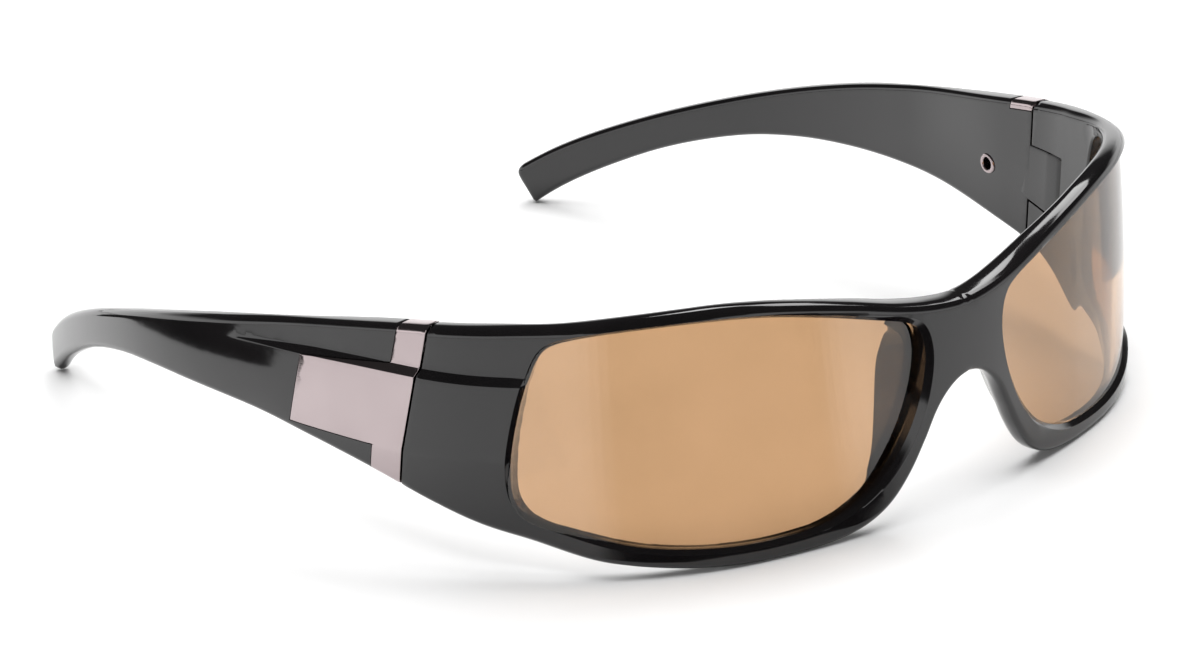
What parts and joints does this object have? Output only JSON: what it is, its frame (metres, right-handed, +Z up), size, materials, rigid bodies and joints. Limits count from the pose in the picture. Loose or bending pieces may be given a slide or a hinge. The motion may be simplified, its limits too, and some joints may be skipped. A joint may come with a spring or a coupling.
{
  "type": "wraparound sport sunglasses",
  "caption": "Wraparound sport sunglasses: moulded front with brown tinted lenses, folding temples on hinge screws and metal trim plates.",
  "frame": {"origin": "on the floor under the middle of the bounding box, temples open", "axes": "+X towards the wearer's left, +Y back along the open temples, +Z up"},
  "size_m": [0.1446, 0.165, 0.0415],
  "materials": {
    "black_nylon": "gloss injection-moulded nylon",
    "brown_lens": "gloss brown tinted polycarbonate",
    "satin_nickel": "satin nickel plating with a faint warm tint",
    "steel": "turned stainless steel"
  },
  "bodies": {
    "front": {"front_frame": "black_nylon", "lens_left": "brown_lens", "lens_right": "brown_lens", "hinge_screw_left": "steel", "hinge_screw_right": "steel"},
    "left_temple": {"temple_left": "black_nylon", "trim_plate_left": "satin_nickel", "trim_eyelet_left": "satin_nickel"},
    "right_temple": {"temple_right": "black_nylon", "trim_plate_right": "satin_nickel", "trim_eyelet_right": "satin_nickel"}
  },
  "joints": [
    {"name": "temple_left_fold", "type": "hinge", "parent": "front", "child": "left_temple", "pos_m": [0.0644, -0.03919, 0.0235], "axis": [-0.0992, -0.2203, 0.9704], "range_deg": [0, 78]},
    {"name": "temple_right_fold", "type": "hinge", "parent": "front", "child": "right_temple", "pos_m": [-0.0644, -0.03919, 0.0235], "axis": [-0.0992, 0.2203, -0.9704], "range_deg": [0, 88]}
  ]
}
